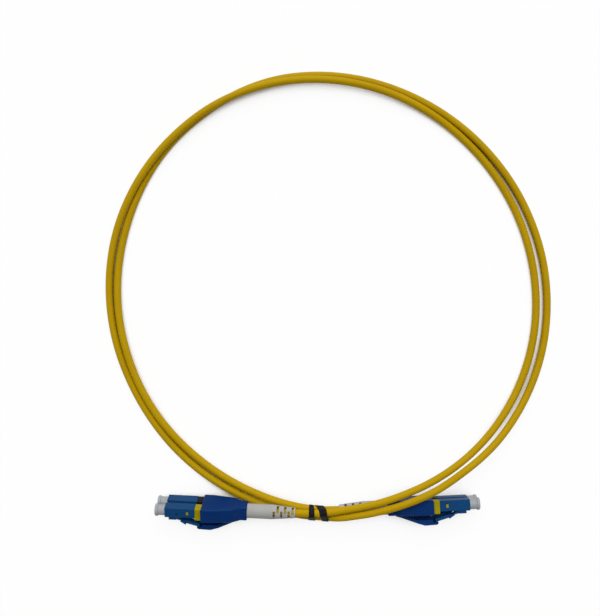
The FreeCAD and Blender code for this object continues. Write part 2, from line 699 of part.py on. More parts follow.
def boot(label, place):
    """White bend relief: a plain collar, then rings of two opposite slots, turned by turns."""
    start = housing_rear()
    collar_end = start + " + boot_collar"
    end = start + " + boot_length"
    room = "crimp_tube_diameter / 2 + seat_gap + ring_wall + fit_clearance"
    step = start + " + crimp_tube_out + ring_on_jacket + fit_clearance"
    bore = "cable_diameter / 2 + boot_clearance"
    body = turned(label, [
        (start, room), (start, "boot_diameter / 2"), (collar_end, "boot_diameter / 2"),
        (end, "boot_tip_diameter / 2"), (end, bore), (step, bore), (step, room)])
    count = int(size("slots_per_side"))
    for way, shift in ((1, 0.5), (-1, 0.0)):
        sketch = new_sketch(body, "XZ_Plane")
        lean = Rotation(Vector(way, 0, 0), size("slot_turn"))
        sketch.AttachmentOffset = Placement(Vector(), lean)
        sketch.setExpression("AttachmentOffset.Rotation.Angle", bound("slot_turn"))
        for i in range(count):
            middle = f"{end} - slot_margin - {i + shift} * slot_pitch"
            rectangle(sketch, middle + " - slot_width / 2", middle + " + slot_width / 2",
                      "-slot_span / 2", "slot_span / 2")
        extrude(body, "Pocket", sketch, "boot_diameter + 1", symmetric=True)
    keep(label, body, place)


def fibre(label, place, side):
    """Buffered fibre from the flange's stem to the crimp, drawing in to the cable axis."""
    across = side * size("plug_pitch") / 2
    drop = -size("plug_drop")
    begin = worth("ferrule_length - ferrule_stand_out + ferrule_seat")
    leave = worth(housing_front() + " + tail_length")
    arrive = worth(housing_rear() + " - crimp_flange_from_rear - fibre_straight")
    finish = worth(housing_rear() + " + crimp_tube_out") - size("seat_gap")
    inner = side * size("fibre_spacing") / 2
    points = [Vector(begin, across, drop), Vector(leave, across, drop),
              Vector(arrive, inner, 0), Vector(finish, inner, 0)]
    ahead = Vector(1, 0, 0)
    edges = [Part.LineSegment(points[0], points[1]).toShape()]
    edges += biarc(points[1], ahead, points[2], ahead)
    edges.append(Part.LineSegment(points[2], points[3]).toShape())
    shape, path = tube_along(edges, points[0], ahead, size("fibre_diameter") / 2)
    made_shape(label, shape, place)


# The two connectors, placed from the lowest point of the loop's mean circle

LOOP = Vector(size("loop_x"), size("loop_y"), 0)
LOWEST = LOOP - Vector(0, size("loop_radius"), 0)


def connector_place(name):
    """Placement of a connector's frame in the part's frame."""
    turn = Rotation(Vector(0, 0, 1), size(name + "_heading"))
    turn = turn * Rotation(Vector(0, 1, 0), -size(name + "_lift"))
    turn = turn * Rotation(Vector(1, 0, 0), size(name + "_roll"))
    spot = LOWEST + Vector(size(name + "_x"), size(name + "_y"), size(name + "_z"))
    return Placement(spot, turn)


def connector(name, upper_side):
    """All pieces of one connector; upper_side is +1 where the upper plug is at +Y."""
    place = connector_place(name)
    for level, side in (("upper", upper_side), ("lower", -upper_side)):
        spot = Vector(0, side * size("plug_pitch") / 2, -size("plug_drop"))
        seat = place * Placement(spot, Rotation())
        plug_body(f"{name}_plug_body_{level}", seat)
        latch_arm(f"{name}_latch_arm_{level}", seat)
        ferrule(f"{name}_ferrule_{level}", seat)
        ferrule_flange(f"{name}_ferrule_flange_{level}", seat)
        spring(f"{name}_ferrule_spring_{level}", seat)
        rear_insert(f"{name}_rear_insert_{level}", seat)
        dust_cap(f"{name}_dust_cap_{level}", seat)
        fibre(f"{name}_fibre_{level}", place, side)
    shell(f"{name}_housing_back", place, latch_side=False)
    shell(f"{name}_housing_cover", place, latch_side=True)
    trigger(f"{name}_trigger", place)
    crimp_body(f"{name}_crimp_body", place)
    crimp_ring(f"{name}_crimp_ring", place)
    boot_turn = Rotation(Vector(1, 0, 0), size(name + "_boot_turn"))
    boot(f"{name}_boot", place * Placement(Vector(), boot_turn))


# Cable: one unbroken tube from boot to boot, in two turns

LEFT = connector_place("left")
RIGHT = connector_place("right")
LYING = size("cable_diameter") / 2
OVER = size("crossing_height")

# Turns: angle in degrees about the loop's centre, how far outside the mean oval the
# cable lies, and the height of its axis. Each stretch is a quarter turn or less.
FIRST_TURN = [
    (300, -4.2, 11.2), (315, -3.1, 6.2), (333, -2.1, LYING), (375, -2.2, LYING),
    (420, -2.7, LYING), (441, -2.3, 3.4), (461, -1.5, OVER), (500, 0.05, OVER),
    (521, 1.4, 3.4), (542, 1.9, LYING), (585, 1.95, LYING), (608, 2.0, LYING)]
SECOND_TURN = [
    (315, 0.9, 8.6), (330, 2.2, 3.2), (345, 2.5, LYING), (390, 1.5, LYING),
    (420, 0.9, LYING), (441, 0.7, LYING), (461, 0.4, LYING), (500, -0.8, LYING),
    (521, -1.6, LYING), (542, -1.65, LYING), (585, -1.65, LYING), (602, -1.65, 2.2)]

# Hand-laid points between the turns, from the loop's lowest point: out of the left boot
# through the tie and over the right connector, then under the left boot to the tie
# and over the right connector again, and at last through the tie to the right boot.
FIRST_RISE = [(-3.1, -0.1, 9.75), (16.4, 3.45, 11.1), (29.1, 7.45, 12.4)]
UNDER_AND_OVER = [
    (-21.5, 0.65, 2.1), (-12.0, -1.35, 3.7), (-3.1, -2.45, 4.8), (5.0, -3.05, 6.4),
    (10.5, -2.65, 8.5), (17.5, -0.45, 11.0), (28.5, 3.25, 13.4), (38.2, 7.35, 14.4),
    (47.5, 11.95, 13.2)]
LAST_RISE = [(-27.6, 5.95, 3.6), (-16.0, 2.85, 5.3), (-5.0, 1.3, 6.15)]


def turn_points(stations):
    """Points of one turn, worked out from its stations."""
    points = []
    for angle, outward, height in stations:
        oval = size("loop_oval") * math.cos(math.radians(2 * (angle - size("loop_oval_angle"))))
        reach = size("loop_radius") + oval + outward
        across = Vector(math.cos(math.radians(angle)), math.sin(math.radians(angle)), 0)
        points.append(LOOP + across * reach + Vector(0, 0, height))
    return points


def laid_points(spots):
    return [LOWEST + Vector(*spot) for spot in spots]


def path_ways(points, first, last):
    """Unit tangent at each point: that of the circle through it and its neighbours.

    A point that is level with a neighbour, or higher or lower than both, is passed level.
    """
    ways = [first]
    for before, here, after in zip(points, points[1:], points[2:]):
        back = here - before
        on = after - here
        way = back * (on.Length / back.Length) + on * (back.Length / on.Length)
        if back.z * on.z < 1e-9:
            way.z = 0
        ways.append(way.normalize())
    return ways + [last]


def least_gap(edges, diameter):
    """Least clear distance between stretches that are over 20 diameters apart along the tube."""
    spots = []
    travelled = 0.0
    for edge in edges:
        steps = max(2, int(edge.Length / 1.0))
        for i in range(steps):
            share = i / steps
            first, last = edge.ParameterRange
            spots.append((travelled + share * edge.Length,
                          edge.valueAt(first + share * (last - first))))
        travelled += edge.Length
    least = 1e9
    for i, (at, spot) in enumerate(spots):
        for other_at, other in spots[i + 1:]:
            if other_at - at > 20 * diameter:
                least = min(least, spot.distanceToPoint(other))
    return least - diameter


def cable():
    """Cable jacket: straight in both boots, two turns between."""
    ahead = Vector(1, 0, 0)
    inner = worth(housing_rear() + " + crimp_tube_out")
    outer = worth(housing_rear() + " + boot_length") + size("cable_diameter")
    left_way = LEFT.Rotation.multVec(ahead)
    right_way = RIGHT.Rotation.multVec(ahead)
    left_end, left_out = LEFT.multVec(ahead * inner), LEFT.multVec(ahead * outer)
    right_end, right_out = RIGHT.multVec(ahead * inner), RIGHT.multVec(ahead * outer)
    points = [left_out] + laid_points(FIRST_RISE) + turn_points(FIRST_TURN)
    points += laid_points(UNDER_AND_OVER) + turn_points(SECOND_TURN)
    points += laid_points(LAST_RISE) + [right_out]
    ways = path_ways(points, left_way, right_way * -1)
    edges = [Part.LineSegment(left_end, left_out).toShape()]
    edges += smooth_path(points, ways)
    edges.append(Part.LineSegment(right_out, right_end).toShape())
    shape, path = tube_along(edges, left_end, left_way, size("cable_diameter") / 2)
    radii = [edge.Curve.Radius for edge in path.Edges if hasattr(edge.Curve, "Radius")]
    lowest = min(edge.BoundBox.ZMin for edge in path.Edges)
    section = math.pi * (size("cable_diameter") / 2) ** 2
    print(f"cable length {path.Length:.1f} mm, least bend radius {min(radii):.1f} mm")
    print(f"cable least gap to itself {least_gap(path.Edges, size('cable_diameter')):.2f} mm")
    print(f"cable axis never lower than {lowest:.2f} mm")
    print(f"cable volume over section times length {shape.Volume / (section * path.Length):.5f}")
    made_shape("cable_jacket", shape, Placement())
    return path


# Tie: one flat strip wound round the three strands between the boots

def strands_at(path, across_x):
    """Where the strands by the boots cross the plane x = across_x, in order round them."""
    spots = []
    for edge in path.Edges:
        trail = edge.discretize(Distance=0.5)
        for one, other in zip(trail, trail[1:]):
            if one.y < 0 and (one.x - across_x) * (other.x - across_x) <= 0 and one.x != other.x:
                spot = one + (other - one) * ((across_x - one.x) / (other.x - one.x))
                if not spots or spot.distanceToPoint(spots[-1]) > 0.1:
                    spots.append(spot)
    middle = sum(spots, Vector()) * (1 / len(spots))
    return sorted(spots, key=lambda spot: math.atan2(spot.z - middle.z, spot.y - middle.y))


def corner_directions(spots, steps):
    """For each strand, the directions that a band round all of them turns through there."""
    rows = []
    for i, spot in enumerate(spots):
        before, after = spots[i - 1], spots[(i + 1) % len(spots)]
        first = math.atan2(spot.z - before.z, spot.y - before.y) - math.pi / 2
        last = math.atan2(after.z - spot.z, after.y - spot.y) - math.pi / 2
        if last < first:
            last += 2 * math.pi
        rows += [(spot, first + (last - first) * step / steps) for step in range(steps + 1)]
    return rows


def tie(path):
    """Strip tie: a band on top, a lean under the bundle, and a second band that slants."""
    width = size("tie_width")
    reach = size("cable_diameter") / 2 + size("tie_clearance")
    steps = 4
    turn = 3 * (steps + 1)
    start, lean_from, lean_to, end = turn // 2 - 1, turn, turn + turn // 2 - 1, 2 * turn
    advance = width + size("tie_gap")
    sections = []
    spots = []
    for i in range(start, end + 1):
        along = size("loop_x") + size("tie_x")
        along += advance * min(1, max(0, (i - lean_from) / (lean_to - lean_from)))
        along += size("tie_slant") * max(0, (i - lean_to) / (end - lean_to))
        spot, angle = corner_directions(strands_at(path, along), steps)[i % turn]
        out = Vector(0, math.cos(angle), math.sin(angle))
        near, far = spot + out * reach, spot + out * (reach + size("tie_thickness"))
        spots.append(near)
        half = Vector(width / 2, 0, 0)
        loop = [near - half, near + half, far + half, far - half]
        sections.append(Part.makePolygon(loop + [loop[0]]))
    gaps = [there.x - here.x - width for here, there in zip(spots, spots[turn:])]
    print(f"tie least gap to itself {min(gaps):.2f} mm")
    made_shape("cable_tie", Part.makeLoft(sections, True, True), Placement())


connector("left", 1)
connector("right", -1)
tie(cable())

DOC.recompute()
broken = [item.Label for item in DOC.Objects if "Invalid" in item.State or "Error" in item.State]
for part in PARTS:
    if part.Shape.isNull() or not part.Shape.isValid() or not part.Shape.Solids:
        broken.append(part.Label)
if broken:
    raise RuntimeError("failed: " + ", ".join(sorted(set(broken))))

os.makedirs("parts", exist_ok=True)
whole = FreeCAD.BoundBox()
for part in PARTS:
    part.Shape.exportStep(f"parts/{part.Label}.step")
    whole.add(part.Shape.optimalBoundingBox(False, False))
print(f"{len(PARTS)} parts, box {whole}")
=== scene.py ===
# %% [markdown]
# # A fibre optic patch cord
#
# A patch cord carries light between two network boxes. This one is a yellow cable wound
# in two turns, with a small blue push connector and two capped plugs on each end, and a
# black tie round the middle. The solid parts were drawn in a CAD program. They come in
# as a frame of fixed pieces, and this lesson gives each of them its looks.
#
# Blender works in metres, and a piece goes where the CAD model says, so nothing has to
# be fitted by eye. The real sizes are small, so the numbers below are written in
# millimetres and multiplied by MM where they go into Blender.

import json
import math

import bmesh
import bpy
import numpy as np
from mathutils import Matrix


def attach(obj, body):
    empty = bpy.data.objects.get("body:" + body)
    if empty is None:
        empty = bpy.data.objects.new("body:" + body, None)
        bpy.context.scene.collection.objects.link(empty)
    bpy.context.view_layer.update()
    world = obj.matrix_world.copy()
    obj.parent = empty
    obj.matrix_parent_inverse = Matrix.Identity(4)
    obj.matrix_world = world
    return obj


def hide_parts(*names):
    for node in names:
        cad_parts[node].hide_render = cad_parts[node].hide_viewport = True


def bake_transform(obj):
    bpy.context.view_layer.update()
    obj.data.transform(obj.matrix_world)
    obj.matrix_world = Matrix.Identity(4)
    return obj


MM = 0.001
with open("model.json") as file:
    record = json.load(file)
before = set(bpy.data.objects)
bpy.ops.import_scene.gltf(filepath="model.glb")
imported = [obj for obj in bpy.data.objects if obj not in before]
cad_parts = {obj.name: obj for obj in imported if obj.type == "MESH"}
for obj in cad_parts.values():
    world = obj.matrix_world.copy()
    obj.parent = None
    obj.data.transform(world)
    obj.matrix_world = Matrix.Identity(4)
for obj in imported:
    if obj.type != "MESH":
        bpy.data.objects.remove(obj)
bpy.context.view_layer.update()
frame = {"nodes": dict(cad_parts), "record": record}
print("CAD nodes:", len(frame["nodes"]))

# %% [markdown]
# ## The camera
#
# The photograph looks straight down on the cord. A camera could be aimed with a
# constraint, but a camera without any rotation already looks down with +Y up in the
# picture, so its place and its lens are all it needs. The lens was worked out from how
# many pixels the connectors and the coil measure at this distance.

# %% Camera
eye = bpy.data.objects.new("eye", bpy.data.cameras.new("eye"))
eye.data.sensor_width = 36.0
eye.data.lens = 56.36
eye.data.clip_start = 0.01
eye.location = (-0.011437, -0.003885, 0.400)
bpy.context.scene.collection.objects.link(eye)
bpy.context.scene.camera = eye
print("camera height:", eye.location.z, "m, lens:", eye.data.lens, "mm")

# %% [markdown]
# ## Colours
#
# A colour picked from a screen is stretched towards the bright end for our eyes, while
# light adds up on a straight scale. Each colour is written as it looks on a screen, from
# 0 to 255, and one function turns it to the straight scale that shaders work in.


# %% Colours as they are seen
def seen(red, green, blue):
    """Straight-scale colour: c/12.92 below 0.04, else ((c + 0.055) / 1.055) to the 2.4."""
    c = np.array([red, green, blue]) / 255
    straight = np.where(c <= 0.04045, c / 12.92, ((c + 0.055) / 1.055) ** 2.4)
    return (*(float(v) for v in straight), 1.0)


cable_yellow = seen(173, 139, 0)
print("cable yellow on the straight scale:", [round(v, 3) for v in cable_yellow])

# %% [markdown]
# ## Wires between nodes
#
# A Blender material is a net of nodes, and sums such as 1 - 2 * noise need a node for
# each step. Wiring those by hand hides the idea. A small class holds one output of a
# node and lets Python's own + - * make the Math, Vector Math or Mix node, so a recipe
# reads like the sum it is. Every other kind of node is made by one method.


# %% A wire that can be used in sums
def feed(socket, value):
    """Links a wire to a socket, or writes a plain value on the socket."""
    if isinstance(value, Wire):
        socket.id_data.links.new(value.socket, socket)
    else:
        socket.default_value = value


class Wire:
    """One output of a shader node."""

    def __init__(self, socket):
        self.socket = socket

    @classmethod
    def make(cls, tree, kind, settings=None, values=None, out=0):
        """Adds a node with its settings and socket values, and returns one of its outputs."""
        made = tree.nodes.new(kind)
        for name, value in (settings or {}).items():
            setattr(made, name, value)
        for name, value in (values or {}).items():
            feed(made.inputs[name], value)
        return cls(made.outputs[out])

    def then(self, kind, settings=None, values=None, out=0):
        """A further node in the same material."""
        return Wire.make(self.socket.id_data, kind, settings, values, out)

    def sum_with(self, how, left, right):
        """The node for one sum: Mix for colours, Vector Math for vectors, Math for numbers."""
        kinds = {side.socket.type for side in (left, right) if isinstance(side, Wire)}
        if "RGBA" in kinds:
            settings = {"data_type": "RGBA", "blend_type": how}
            return self.then("ShaderNodeMix", settings, {0: 1.0, 6: left, 7: right}, 2)
        if "VECTOR" in kinds:
            sides = [(side,) * 3 if isinstance(side, (int, float)) else side
                     for side in (left, right)]
            return self.then(
                "ShaderNodeVectorMath", {"operation": how}, {0: sides[0], 1: sides[1]})
        return self.then("ShaderNodeMath", {"operation": how}, {0: left, 1: right})

    def __add__(self, other):
        return self.sum_with("ADD", self, other)

    def __radd__(self, other):
        return self.sum_with("ADD", other, self)

    def __sub__(self, other):
        return self.sum_with("SUBTRACT", self, other)

    def __rsub__(self, other):
        return self.sum_with("SUBTRACT", other, self)

    def __mul__(self, other):
        return self.sum_with("MULTIPLY", self, other)

    def __rmul__(self, other):
        return self.sum_with("MULTIPLY", other, self)


sums = [name for name in vars(Wire) if name.endswith(("add__", "sub__", "mul__"))]
print("sums that a wire knows, from both sides:", sums)

# %% [markdown]
# ## Grain and blends
#
# A few helpers do most of the work in every finish. Grain is a cloudy noise whose clumps
# have a size in millimetres, read from the object's own coordinates, so it stays on the
# surface when the piece moves. A smooth step picks out a part of that noise, and a blend
# mixes two colours by it.


# %% Helpers for grain and colour
def new_finish(name, **fixed):
    """A material with a Principled shader; the fixed values go on the shader's own sockets."""
    material = bpy.data.materials.new(name)
    material.use_nodes = True
    shader = material.node_tree.nodes["Principled BSDF"]
    for socket, value in fixed.items():
        shader.inputs[socket.replace("_", " ")].default_value = value
    place = Wire.make(material.node_tree, "ShaderNodeTexCoord", out="Object")
    return material, shader, place


def grain(place, size, detail=2.0, rough=0.5):
    """Cloudy noise from 0 to 1 with clumps of a size in mm: its scale is 1 / size."""
    return place.then(
        "ShaderNodeTexNoise", None,
        {"Vector": place, "Scale": 1 / (size * MM), "Detail": detail, "Roughness": rough}, "Fac")


def between(wire, low, high, to_low=0.0, to_high=1.0):
    """Smooth step: to_low below low, to_high above high, an S curve in between."""
    return wire.then(
        "ShaderNodeMapRange", {"interpolation_type": "SMOOTHSTEP"},
        {"Value": wire, "From Min": low, "From Max": high, "To Min": to_low, "To Max": to_high})


def blend(share, first, second):
    """Colour that goes from first to second as share goes from 0 to 1."""
    return share.then("ShaderNodeMix", {"data_type": "RGBA"}, {0: share, 6: first, 7: second}, 2)


def scaled(colour, share):
    """A colour times a share, with each of its three parts at most 1."""
    return tuple(min(1.0, part * share) for part in colour[:3]) + (1.0,)


print("cable yellow at half its strength:", [round(v, 3) for v in scaled(cable_yellow, 0.5)])

# %% [markdown]
# ## Bumps and edges
#
# A relief turns a wire into small hills, whose height is given in millimetres too. No moulded edge
# is quite sharp, and it catches the light because of that. The CAD pieces could be rounded with a
# Bevel modifier, but their meshes are left as they are. The Bevel shader node gives the same look:
# it turns the normal a little near an edge. How far it turns also tells where the edges are, where
# the colour is made paler: partly the wear of hands, partly a painted highlight along the edge.

# %% Helpers for bumps and edges
edge_starts, edge_full = 0.02, 0.3


def relief(height, tallest, rounded=None):
    """Bump of hills up to tallest mm; rounded is the wire of a normal to start from."""
    values = {"Height": height, "Distance": tallest * MM, "Strength": 1.0}
    if rounded is not None:
        values["Normal"] = rounded
    return height.then("ShaderNodeBump", None, values)


def soft_corner(place, radius):
    """Normal that turns smoothly over an edge, as if the edge had a small radius in mm."""
    return place.then("ShaderNodeBevel", {"samples": 4}, {"Radius": radius * MM})


def edge_share(place, radius):
    """1 on an edge and 0 on a flat: 1 less the cosine between the true and soft normals."""
    true = place.then("ShaderNodeNewGeometry", out="Normal")
    both = {0: true, 1: soft_corner(place, radius)}
    cosine = place.then("ShaderNodeVectorMath", {"operation": "DOT_PRODUCT"}, both, "Value")
    return between(1.0 - cosine, edge_starts, edge_full)


edge_angle = math.degrees(math.acos(1 - edge_starts))
print("an edge shows where the normal turns by", round(edge_angle, 1), "degrees or more")

# %% [markdown]
# ## Jacket of the cable
#
# The jacket is a soft PVC tube, pressed out of a round nozzle while it is hot. That
# leaves a satin skin with very fine dimples, a slow waviness along the cable, and small
# differences in shine where it was handled. A picture could be wrapped round it, but a
# few noises of different sizes give the same look at any distance.


# %% Cable jacket
def jacket_finish():
    """Yellow that drifts over 14 mm and is duller where it was handled, with fine dimples."""
    material, shader, place = new_finish("jacket", Specular_IOR_Level=0.06)
    slow, fine, handled = grain(place, 14, 2), grain(place, 0.22, 3), grain(place, 5, 3, 0.6)
    colour = blend(between(slow, 0.3, 0.7), cable_yellow, seen(178, 144, 0))
    colour = blend(between(handled, 0.55, 0.8) * 0.35, colour, seen(164, 128, 0))
    feed(shader.inputs["Base Color"], colour)
    feed(shader.inputs["Roughness"], 0.46 + 0.14 * handled)
    feed(shader.inputs["Normal"], relief(fine * 0.12 + slow, 0.02))
    return material


finishes = {"cable": jacket_finish()}
print("nodes in the jacket's finish:", len(finishes["cable"].node_tree.nodes))

# %% [markdown]
# ## Moulded plastics
#
# Housings, plugs, inserts, caps and boots all come out of steel moulds. The mould's surface prints
# its fine sparked grain on them, flow leaves faint clouds in the colour, and edges that get
# handled turn a little smoother. The edges are also made paler, partly for the wear of handling
# and partly as a painted highlight where they catch the light. Each could have a recipe of its
# own, but one covers them all, and each piece gets its own colour, shine and grain.


# %% Moulded plastic
def moulded(name, colour, edge_wear_and_highlight, roughness,
            cloud=0.06, grain_size=0.12, depth=0.006, edge=0.12, shine=0.15):
    """Plastic in a colour that drifts by a share of cloud, and is paler at its edges: partly wear,
    partly a painted highlight.
    """
    material, shader, place = new_finish(name, Specular_IOR_Level=shine)
    clouds, sparks = grain(place, 4, 3), grain(place, grain_size, 2)
    worn_and_highlit_edges = edge_share(place, edge) * between(grain(place, 1.5, 4), 0.35, 0.75)
    drift = scaled(colour, 1 - cloud), scaled(colour, 1 + cloud)
    base = blend(between(clouds, 0.3, 0.7), *drift)
    # Edges get the paler colour: partly wear from handling, partly a painted highlight.
    feed(shader.inputs["Base Color"], blend(worn_and_highlit_edges * 0.6, base, edge_wear_and_highlight))
    feed(shader.inputs["Roughness"], roughness + 0.12 * sparks - 0.1 * worn_and_highlit_edges)
    feed(shader.inputs["Normal"], relief(sparks, depth, soft_corner(place, edge)))
    return material


# The second colour of each is its paler edge colour, partly wear and partly a painted highlight.
finishes |= {
    "housing": moulded("housing", seen(1, 43, 98), seen(20, 60, 122), 0.42, shine=0.07),
    "plug": moulded("plug", seen(8, 61, 107), seen(36, 88, 135), 0.38, depth=0.004, shine=0.08),
    "yellow_insert": moulded(
        "yellow_insert", seen(154, 139, 0), seen(166, 153, 10), 0.4, shine=0.05),
    "black_insert": moulded(
        "black_insert", seen(24, 27, 34), seen(32, 34, 40), 0.45, shine=0.06),
    "cap": moulded("cap", seen(153, 157, 161), seen(168, 171, 175), 0.35, cloud=0.04),
    "boot": moulded(
        "boot", seen(158, 158, 155), seen(174, 175, 177), 0.55, cloud=0.03, depth=0.01),
    "fibre": moulded("fibre_buffer", seen(236, 236, 230), seen(245, 245, 240), 0.4),
}
print("finishes with the plastics:", len(finishes))

# %% [markdown]
# ## Metals and ceramic
#
# The springs are bare steel, the crimp rings and flanges are plated, and the ferrules are
# zirconia, a white ceramic ground so smooth that it shines. They hide inside, but the
# caps come off and the latches open, so they need a finish as well. Fine lines from the
# lathe could be drawn one by one. Noise that is squeezed across X, and so drawn out along
# X, gives them at once.


# %% Metal and ceramic
def metal_finish(name, colour, roughness):
    """Metal with lines along X, from noise that is six times finer across it."""
    material, shader, place = new_finish(name, Metallic=1.0)
    lines, spots = grain(place * (1.0, 6.0, 6.0), 0.6, 3), grain(place, 0.8, 3)
    tarnish = blend(between(spots, 0.35, 0.75), colour, scaled(colour, 0.75))
    feed(shader.inputs["Base Color"], tarnish)
    feed(shader.inputs["Roughness"], roughness + 0.2 * lines)
    feed(shader.inputs["Normal"], relief(lines, 0.003))
    return material


def ceramic_finish():
    """White ceramic under a thin clear coat, with spots that hardly show."""
    material, shader, place = new_finish("ceramic", IOR=2.1, Coat_Weight=0.3)
    spots = grain(place, 0.3, 3)
    feed(shader.inputs["Base Color"], blend(spots, seen(238, 238, 233), seen(228, 229, 226)))
    feed(shader.inputs["Roughness"], 0.08 + 0.06 * spots)
    feed(shader.inputs["Normal"], relief(spots, 0.0005))
    return material


finishes |= {
    "ceramic": ceramic_finish(),
    "metal": metal_finish("steel", seen(200, 199, 196), 0.22),
    "brass": metal_finish("plated_brass", seen(208, 200, 176), 0.25),
}
print("finishes with the metals:", len(finishes))

# %% [markdown]
# ## Cloth of the tie
#
# The tie is a soft black strip of nylon cloth, dull and a little fuzzy. Fibres could be
# grown on it as hair, but it is only 3 mm wide, so a fine noise in its roughness and its
# bumps is enough. Real black cloth is never quite black.


# %% Black strip of the tie
def tie_finish():
    """Two near blacks in slow clouds, with a rough skin of fine bumps."""
    material, shader, place = new_finish("tie", Specular_IOR_Level=0.06)
    weave, slow = grain(place, 0.3, 4), grain(place, 2.5, 2)
    black = blend(between(slow, 0.3, 0.7), seen(14, 14, 15), seen(25, 25, 26))
    feed(shader.inputs["Base Color"], black)
    feed(shader.inputs["Roughness"], 0.5 + 0.25 * weave)
    feed(shader.inputs["Normal"], relief(weave, 0.03))
    return material


finishes["tie"] = tie_finish()
print("finishes:", sorted(finishes))

# %% [markdown]
# ## Each piece gets its finish
#
# The packed model says of each node what it is made of, in a word such as plug or boot.
# The pieces could be picked one by one, but reading that word gives every piece the
# right finish, and none is forgotten.

# %% One finish for each word of the record
slot_of = {part["node"]: part["material_slot"] for part in frame["record"]["subparts"]}
for node, piece in frame["nodes"].items():
    piece.data.materials.clear()
    piece.data.materials.append(finishes[slot_of[node]])
print("finishes in use:", len(set(slot_of.values())), "on", len(frame["nodes"]), "pieces")

# %% [markdown]
# ## What the camera sees, and what only lights
#
# The ground in the photograph is pure white. More light would whiten it, but also bleach
# the cord. Blender can tell apart a ray that the camera sent out from light that bounces
# between things, so the ground and the sky are made white for the first kind alone.
# Mirrors and glass count as the camera, so that shiny pieces show the same white.


# %% Rays that end in the picture
def looked_at(tree):
    """1 on a ray from the camera, also by way of a mirror or glass, and 0 on light alone."""
    names = ("Is Camera Ray", "Is Glossy Ray", "Is Transmission Ray")
    direct, mirrored, passed = (
        Wire.make(tree, "ShaderNodeLightPath", out=name) for name in names)
    return direct.sum_with("MAXIMUM", direct, direct.sum_with("MAXIMUM", mirrored, passed))


white = (1.0, 1.0, 1.0, 1.0)
print("background:", white[:3])

# %% [markdown]
# ## The floor
#
# The floor is white paint that glows a little to the camera, and what doesn't glow keeps the
# cord's soft shadow. In the narrow gap between two strands a real floor lies in the dark and takes
# on the cable's yellow. Ambient Occlusion measures how much open sky each spot has, so where there
# is little of it the glow goes out and the paint turns to a painted shade of dark yellow, which
# stands for that shadow and the yellow light bounced from the strands.

# %% Floor
reach = 3.0
corners = [(-reach, -reach, 0), (reach, -reach, 0), (reach, reach, 0), (-reach, reach, 0)]
floor = bpy.data.objects.new("floor", bpy.data.meshes.new("floor"))
floor.data.from_pydata(corners, [], [(0, 1, 2, 3)])
bpy.context.scene.collection.objects.link(floor)


def floor_finish(sky_reach=12, most_glow=0.9, painted_gap_shade=(0.5, 0.38, 0.06, 1)):
    """Glow in the picture, up to a share of most_glow under open sky, mixed with paint that narrow
    gaps turn to a painted shade of dark yellow.
    """
    material, shader, place = new_finish("white_ground", Roughness=0.9, Specular_IOR_Level=0.1)
    tree = material.node_tree
    open_sky = Wire.make(
        tree, "ShaderNodeAmbientOcclusion", {"samples": 8}, {"Distance": sky_reach * MM}, "AO")
    paint = blend(grain(place, 40, 2), (0.93, 0.93, 0.93, 1), (0.95, 0.95, 0.95, 1))
    # Where the sky is mostly shut off, the floor's colour is a painted shade of dark yellow.
    feed(shader.inputs["Base Color"], blend(between(open_sky, 0.15, 0.4), painted_gap_shade, paint))
    glow = Wire.make(tree, "ShaderNodeEmission", None, {"Color": white, "Strength": 1.0})
    share = looked_at(tree) * between(open_sky, 0.35, 0.7, 0.0, most_glow)
    mixed = Wire.make(
        tree, "ShaderNodeMixShader", None, {0: share, 1: Wire(shader.outputs[0]), 2: glow})
    feed(tree.nodes["Material Output"].inputs["Surface"], mixed)
    return material


floor.data.materials.append(floor_finish())
print("floor:", 2 * reach, "m wide")

# %% [markdown]
# ## The light
#
# One broad sun stands 30 degrees from straight overhead, towards the top of the picture,
# and a white sky fills the rest. Lamps could stand round the cord, but a sun and a sky
# light both connectors alike. The sky is brighter low down than overhead, as in a studio
# where the camera hangs in the dark, and brighter towards the top of the picture, which
# gives the faces on that side the paler blue that they have in the photograph.

# %% Sky and sun
sky_low, sky_overhead, sky_towards_top = 0.5, 0.36, 0.3
sky = bpy.data.worlds.new("sky")
sky.use_nodes = True
bpy.context.scene.world = sky
background = sky.node_tree.nodes["Background"]
background.inputs["Color"].default_value = white
looking = Wire.make(sky.node_tree, "ShaderNodeTexCoord", out="Generated")
north, height = (
    looking.then("ShaderNodeSeparateXYZ", None, {"Vector": looking}, axis) for axis in "YZ")
lighting = between(height, 0.2, 1.0, sky_low, sky_overhead) + sky_towards_top * north
feed(background.inputs["Strength"], lighting + looked_at(sky.node_tree) * (1.0 - lighting))

sun = bpy.data.objects.new("sun", bpy.data.lights.new("sun", "SUN"))
sun.data.energy = 2.1
sun.data.angle = math.radians(50)
sun.rotation_euler = (math.radians(-30), 0, 0)
bpy.context.scene.collection.objects.link(sun)
bpy.context.scene.view_settings.view_transform = "Standard"
print("sky low down:", sky_low - sky_towards_top, "to", sky_low + sky_towards_top)
print("sky overhead:", sky_overhead, "sun:", round(sun.data.energy, 2))

# %% [markdown]
# ## Ring and connectors
#
# The cord starts inside the left connector, comes out of its boot, passes through the
# tie, makes two turns, and ends inside the right connector. So its course needs the
# middle of the ring and the place and turn of both connectors. They could be measured on
# the CAD meshes, but they are known numbers of the drawing, and are repeated here.

# %% Ring and connectors
loop_middle = np.array([-0.337, 1.915, 0.0])
loop_radius = 89.04
lowest = loop_middle - [0, loop_radius, 0]


